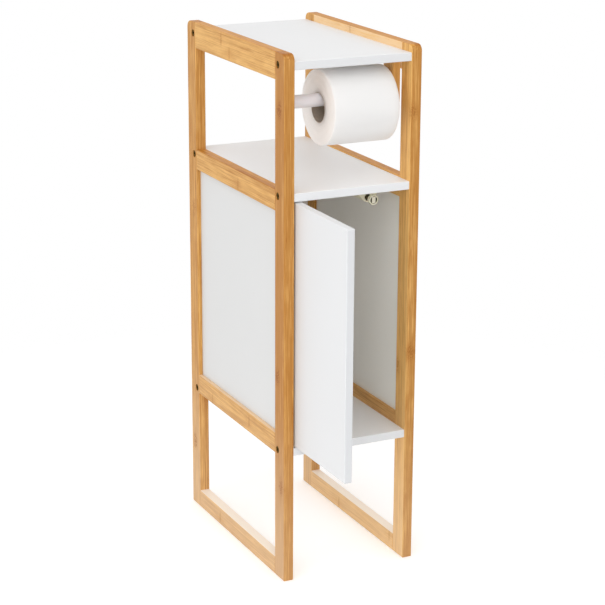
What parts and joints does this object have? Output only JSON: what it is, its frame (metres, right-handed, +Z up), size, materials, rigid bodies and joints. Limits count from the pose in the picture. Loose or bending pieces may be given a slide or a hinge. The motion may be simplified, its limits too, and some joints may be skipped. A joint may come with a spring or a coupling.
{
  "type": "toilet paper stand",
  "caption": "Tall narrow free-standing toilet paper stand: bamboo side frames, white shelves, a roll holder under the top and a small cabinet with a pivoting door.",
  "frame": {"origin": "on the floor, at the centre of the footprint of the two side frames", "axes": "+X to the stand's right seen from its front, +Y to its back, +Z up"},
  "size_m": [0.214, 0.5, 0.78],
  "materials": {
    "bamboo": "satin lacquer",
    "dowel_wood": "raw",
    "white_board": "satin white paint on fibreboard",
    "white_panel": "satin white paint on fibreboard",
    "dark_screw": "blackened",
    "bright_steel": "zinc plated",
    "stem_steel": "dark oiled",
    "spring_steel": "drawn wire",
    "magnet": "nickel plated",
    "latch_plastic": "moulded cream",
    "bush_plastic": "moulded white",
    "roller_plastic": "moulded white",
    "cardboard": "grey-brown cardboard",
    "tissue_paper": "soft white paper"
  },
  "bodies": {
    "stand": {"left_front_upright": "bamboo", "left_rear_upright": "bamboo", "left_top_rail": "bamboo", "left_mid_rail": "bamboo", "left_lower_rail": "bamboo", "left_foot_rail": "bamboo", "left_roll_bracket": "bamboo", "left_side_panel": "white_panel", "left_rail_dowels": "dowel_wood", "left_frame_screws": "dark_screw", "right_front_upright": "bamboo", "right_rear_upright": "bamboo", "right_top_rail": "bamboo", "right_mid_rail": "bamboo", "right_lower_rail": "bamboo", "right_foot_rail": "bamboo", "right_roll_bracket": "bamboo", "right_side_panel": "white_panel", "right_rail_dowels": "dowel_wood", "right_frame_screws": "dark_screw", "top_shelf": "white_board", "mid_shelf": "white_board", "bottom_shelf": "white_board", "back_panel": "white_panel", "pivot_bushes": "bush_plastic", "latch_housing": "latch_plastic", "latch_spring": "spring_steel", "latch_cap": "latch_plastic", "latch_screws": "bright_steel", "bracket_screws": "dark_screw"},
    "door": {"door_panel": "white_board", "door_pivot_pins": "bright_steel", "strike_plate": "bright_steel", "strike_screw": "bright_steel"},
    "latch_plunger": {"latch_head": "latch_plastic", "latch_stem": "stem_steel", "latch_magnet": "magnet"},
    "roller_outer": {"roller_tube": "roller_plastic", "roller_spring": "spring_steel"},
    "roller_inner": {"roller_plug": "roller_plastic"},
    "roll": {"roll_core": "cardboard", "roll_paper": "tissue_paper"}
  },
  "joints": [
    {"name": "door_hinge", "type": "hinge", "parent": "stand", "child": "door", "pos_m": [-0.0825, -0.157, 0.389], "axis": [0, 0, 1], "range_deg": [-8, 90]},
    {"name": "latch_push", "type": "slide", "parent": "stand", "child": "latch_plunger", "axis": [0, 1, 0], "range_m": [0, 0.01], "stiffness_N_per_m": 200, "springref_m": -0.005, "deforming": ["latch_spring"]},
    {"name": "roller_spin", "type": "hinge", "parent": "stand", "child": "roller_outer", "pos_m": [0, -0.123, 0.7035], "axis": [1, 0, 0], "continuous": true},
    {"name": "roller_squeeze", "type": "slide", "parent": "roller_outer", "child": "roller_inner", "axis": [1, 0, 0], "range_m": [-0.01, 0], "stiffness_N_per_m": 150, "springref_m": 0.01, "deforming": ["roller_spring"]},
    {"name": "roll_spin", "type": "hinge", "parent": "stand", "child": "roll", "pos_m": [0.0195, -0.123, 0.6923], "axis": [1, 0, 0], "continuous": true}
  ]
}
